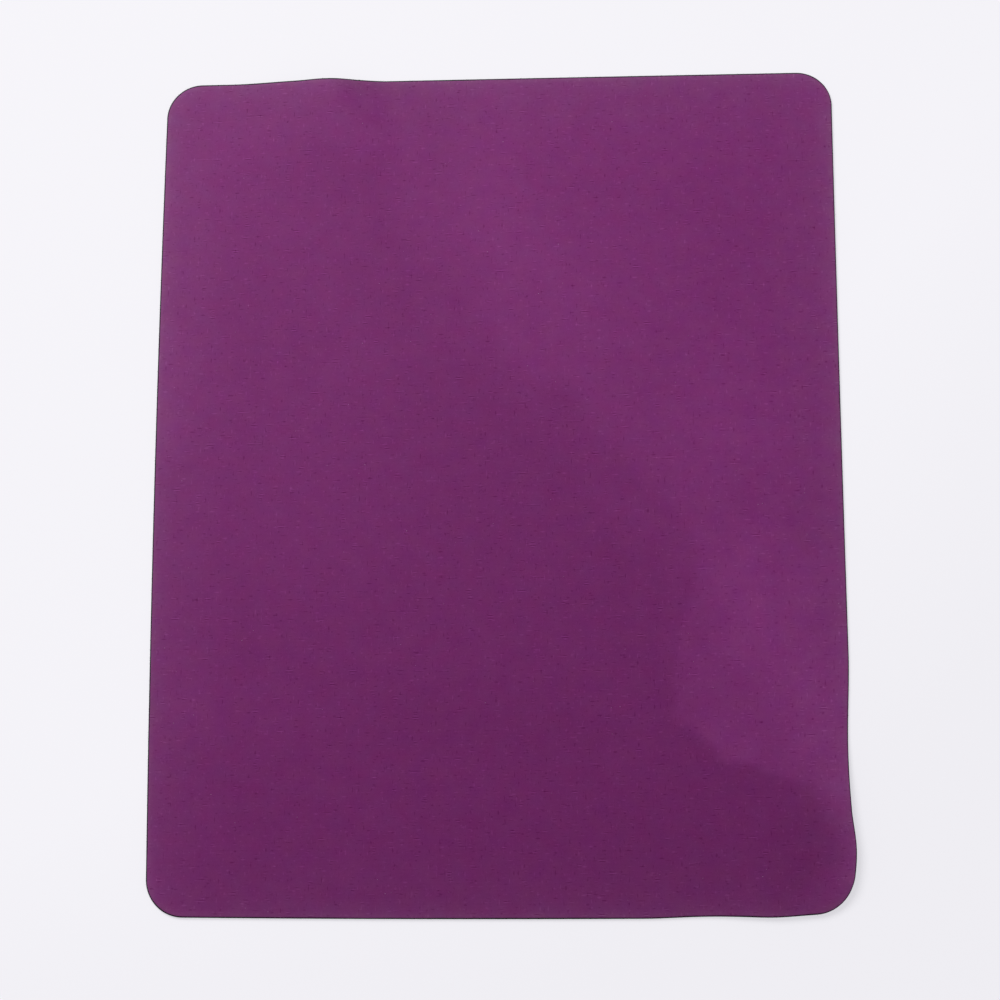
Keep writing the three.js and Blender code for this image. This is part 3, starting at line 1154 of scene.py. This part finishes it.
def rim_parts(tree, given, part):
    """A part set at points round the cut, as thickly as the loop's own measure says."""
    line = add_node(tree, "GeometryNodeMeshToCurve", {0: given["Geometry"]})
    spaced = add_node(
        tree, "GeometryNodeResampleCurve", {"Curve": line, "Length": given["Spacing"]},
        mode="LENGTH")
    chance = random_number(tree, given, 0.0)
    chosen = reckon(tree, "LESS_THAN", chance, named(tree, "fray"))
    outwards = add_node(
        tree, "FunctionNodeAxesToRotation",
        {0: named(tree, "outwards", "FLOAT_VECTOR"), 1: (0, 0, 1)},
        primary_axis="X", secondary_axis="Z")
    swing = random_turn(tree, given, 1.0, *RIM_PART_SWING)
    turn = add_node(
        tree, "FunctionNodeRotateRotation", {0: outwards, 1: swing}, rotation_space="LOCAL")
    size = random_number(tree, given, 2.0, *RIM_PART_SIZES)
    parts = instanced(tree, spaced, part, turn, Selection=chosen, Scale=size)
    return realized_with_tones(tree, given, parts)


def fray_fibres(tree, given):
    """Short curled fibres that stand out of the cloth's cut."""
    end = join(tree, given["Length"])
    strand = add_node(tree, "GeometryNodeCurvePrimitiveLine", {"End": end})
    jointed = add_node(
        tree, "GeometryNodeResampleCurve", {"Curve": strand, "Count": FIBRE_JOINTS})
    fibres = rim_parts(tree, given, jointed)
    along = add_node(tree, "GeometryNodeSplineParameter", output="Factor")
    curl = noise_shift(tree, FIBRE.length, times(tree, given["Curl"], along))
    section = add_node(
        tree, "GeometryNodeCurvePrimitiveCircle", {"Resolution": FIBRE_SIDES, "Radius": 1.0})
    taper = times_plus(tree, along, -FIBRE_TAPER, 1.0)
    return add_node(tree, "GeometryNodeCurveToMesh", {
        "Curve": moved(tree, fibres, Offset=curl), "Profile Curve": section,
        "Scale": times(tree, taper, given["Radius"]), "Fill Caps": True,
    })


def crumb_shape(tree, radius):
    """A ball of twenty faces, which noise makes ragged afterwards."""
    return add_node(tree, "GeometryNodeMeshIcoSphere", {"Radius": radius})


def strew_crumbs(tree, given):
    """Ragged crumbs that stick to the lip."""
    radius = given["Radius"]
    crumbs = rim_parts(tree, given, crumb_shape(tree, radius))
    return moved(tree, crumbs, Offset=noise_shift(tree, CRUMB.radius, radius))


def strew_lint(tree, given):
    """Flattened pills of lint, strewn over the face that looks up."""
    radius = given["Radius"]
    normal = add_node(tree, "GeometryNodeInputNormal")
    upwards = reckon(tree, "GREATER_THAN", split(tree, normal)[2], FACING_UP)
    strewn = add_node(tree, "GeometryNodeDistributePointsOnFaces", {
        "Mesh": given["Geometry"], "Selection": upwards, "Density": given["Density"],
        "Seed": given["Seed"],
    })
    turn = random_turn(tree, given, 1.0, (0, 0, 0), (0, 0, math.tau))
    size = random_number(tree, given, 2.0, *LINT_SIZES)
    flat = join(tree, times(tree, size, LINT_WIDTH), size, times(tree, size, LINT_THICKNESS))
    pills = instanced(tree, strewn, crumb_shape(tree, radius), turn, Scale=flat)
    solid = realized_with_tones(tree, given, pills)
    return moved(tree, solid, Offset=noise_shift(tree, LINT_RADIUS, radius))


STUD_TREE = new_growth(
    "grip studs", stand_studs, STUD_SEED, smooth=False, width=PAD.width, length=PAD.length,
    **vars(STUD))
FIBRE_TREE = new_growth("frayed fibres", fray_fibres, FIBRE_SEED, **vars(FIBRE))
CRUMB_TREE = new_growth("rubber crumbs", strew_crumbs, CRUMB_SEED, **vars(CRUMB))
LINT_TREE = new_growth(
    "lint pills", strew_lint, LINT_SEED, density=LINT_DENSITY, radius=LINT_RADIUS)


def grow(name, base, tree, material):
    """The plain mesh that a geometry tree makes from a base object."""
    modifier = base.modifiers.new(name, "NODES")
    modifier.node_group = tree
    modifier[tree.interface.items_tree["Material"].identifier] = material
    graph = bpy.context.evaluated_depsgraph_get()
    mesh = bpy.data.meshes.new_from_object(base.evaluated_get(graph), depsgraph=graph)
    base.modifiers.remove(modifier)
    mesh.name = name
    return show(name, mesh)


def make_rim_loop(inset, height, fray):
    """A closed line round the pad, with its outward direction and how thickly it is strewn."""
    points = placed(*rim_points(inset), height)
    count = len(points)
    mesh = bpy.data.meshes.new("rim loop")
    mesh.from_pydata(points.tolist(), [(n, (n + 1) % count) for n in range(count)], [])
    run = np.roll(points, -1, axis=0) - np.roll(points, 1, axis=0)
    outwards = np.stack([run[:, 1], -run[:, 0], np.zeros(count)], axis=1)
    outwards /= np.linalg.norm(outwards, axis=1)[:, None]
    attribute = mesh.attributes.new("outwards", "FLOAT_VECTOR", "POINT")
    attribute.data.foreach_set("vector", outwards.astype(np.float32).ravel())
    add_measure(mesh, "fray", fray)
    return show("rim loop", mesh)


def fray_shares(seed):
    """How thickly a cut is frayed: in tufts, and most along the left side."""
    tufts = climb(rim_noise(CUT.wander_length, seed) + 1 / 2)
    left = climb(1 - (rim_points(0)[0] + HALF_WIDTH) / PAD.corner)
    return tufts * (FRAY_LEAST + (1 - FRAY_LEAST) * left)


def make_growths(cloth):
    """The studs, fibres, crumbs and lint."""
    fibre = make_fluff_material(
        "loose fibre", FIBRE_TONES, size=0.2 * MM, strength=0.4, Roughness=0.7,
        Specular_IOR_Level=0.3)
    lint = make_fluff_material(
        "lint", LINT_TONES, size=0.1 * MM, strength=0.5, relief=LINT_RELIEF, Roughness=0.9,
        Specular_IOR_Level=0.15)
    studs = make_stud_material()
    bed = make_bed()
    cloth_loop = make_rim_loop(
        CUT.cloth_setback, TOP.bond + FIBRE_HEIGHT, fray_shares(FIBRE_TUFT_SEED))
    lip_loop = make_rim_loop(CUT.lip_rounding, TOP.rubber, fray_shares(CRUMB_TUFT_SEED))
    growths = {
        "grip_studs": (bed, STUD_TREE, studs), "rim_fibres": (cloth_loop, FIBRE_TREE, fibre),
        "rubber_crumbs": (lip_loop, CRUMB_TREE, studs), "lint_pills": (cloth, LINT_TREE, lint),
    }
    made = {name: grow(name, *parts) for name, parts in growths.items()}
    for scratch in (bed, cloth_loop, lip_loop):
        bpy.data.objects.remove(scratch)
    return made


# The table, the light and the world.


def rays_in(tree):
    """What is known of the ray that meets a surface, and whether it shows an image of it."""
    rays = add_outputs(tree, "ShaderNodeLightPath")
    mirrored = reckon(tree, "MAXIMUM", rays["Is Glossy Ray"], rays["Is Transmission Ray"])
    return rays, reckon(tree, "MAXIMUM", rays["Is Camera Ray"], mirrored)


def make_table():
    """A pale table top, which keeps the pad's shadow. From below, light passes through it."""
    mesh = bpy.data.meshes.new("table")
    half = TABLE_SIZE / 2
    corners = [(-half, -half, 0), (half, -half, 0), (half, half, 0), (-half, half, 0)]
    mesh.from_pydata(corners, [], [(0, 1, 2, 3)])
    table = show("table", mesh)
    material = bpy.data.materials.new("pale table")
    material.use_nodes = True
    tree = material.node_tree
    tree.nodes.clear()
    rays, seen = rays_in(tree)
    places = {0: object_place(tree), 1: (LAMP_PLACE[0], LAMP_PLACE[1], 0)}
    from_lamp = add_node(
        tree, "ShaderNodeVectorMath", places, "Value", operation="DISTANCE")
    evened = remap(
        tree, from_lamp, GLOW_NEAR, GLOW_FAR, GLOW_NEAR_STRENGTH, GLOW_FAR_STRENGTH)
    horizon = remap(tree, from_lamp, HORIZON_NEAR, HORIZON_FAR, 1.0, HORIZON_STRENGTH)
    strength = times(tree, seen, times(tree, evened, horizon))
    matt = add_node(tree, "ShaderNodeBsdfDiffuse", {"Color": TABLE_COLOUR})
    glow = add_node(tree, "ShaderNodeEmission", {"Color": TABLE_GLOW, "Strength": strength})
    top = add_node(tree, "ShaderNodeAddShader", {0: matt, 1: glow})
    back = add_node(tree, "ShaderNodeNewGeometry", output="Backfacing")
    below = reckon(tree, "MAXIMUM", back, rays["Transparent Depth"])
    clear = add_node(tree, "ShaderNodeBsdfTransparent")
    whole = add_node(tree, "ShaderNodeMixShader", {0: below, 1: top, 2: clear})
    add_outputs(tree, "ShaderNodeOutputMaterial", {0: whole})
    mesh.materials.append(material)


def make_lamp(name, place):
    """A large soft lamp that shines at the pad."""
    data = bpy.data.lights.new(name, "AREA")
    data.shape = "DISK"
    data.size = LAMP_SIZE
    data.energy = LAMP_POWER
    aim = Vector(place).to_track_quat("Z", "Y").to_matrix().to_4x4()
    show(name, data).matrix_world = Matrix.Translation(place) @ aim


def make_world():
    """Even light from all round, and a pale backdrop wherever the world itself is seen."""
    world = bpy.data.worlds.new("studio")
    bpy.context.scene.world = world
    world.use_nodes = True
    tree = world.node_tree
    tree.nodes.clear()
    seen = rays_in(tree)[1]
    light = add_node(tree, "ShaderNodeBackground", {0: (1, 1, 1, 1), 1: AMBIENT_STRENGTH})
    backdrop = add_node(tree, "ShaderNodeBackground", {0: BACKDROP_COLOUR, 1: 1.0})
    both = add_node(tree, "ShaderNodeMixShader", {0: seen, 1: light, 2: backdrop})
    add_outputs(tree, "ShaderNodeOutputWorld", {0: both})


# The pad put together.


def give(piece, material):
    piece.data.materials.clear()
    piece.data.materials.append(material)


def assemble():
    cloth, film, rubber = make_cloth(), make_film(), make_rubber()
    growths = make_growths(cloth)
    give(cloth, make_cloth_material())
    give(film, make_film_material())
    give(rubber, make_rubber_material())
    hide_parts("surface_cloth")
    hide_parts("bond_film")
    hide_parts("rubber_base")
    slots = {
        "purple_cloth": [cloth, growths["rim_fibres"], growths["lint_pills"]],
        "bond_film": [film],
        "dark_rubber": [rubber, growths["grip_studs"], growths["rubber_crumbs"]],
    }
    for slot, pieces in slots.items():
        for piece in pieces:
            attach(piece, "root")


assemble()
make_table()
make_lamp("window", LAMP_PLACE)
make_lamp("light for the underside", UNDER_LAMP_PLACE)
make_world()
bpy.context.scene.view_settings.view_transform = "Standard"
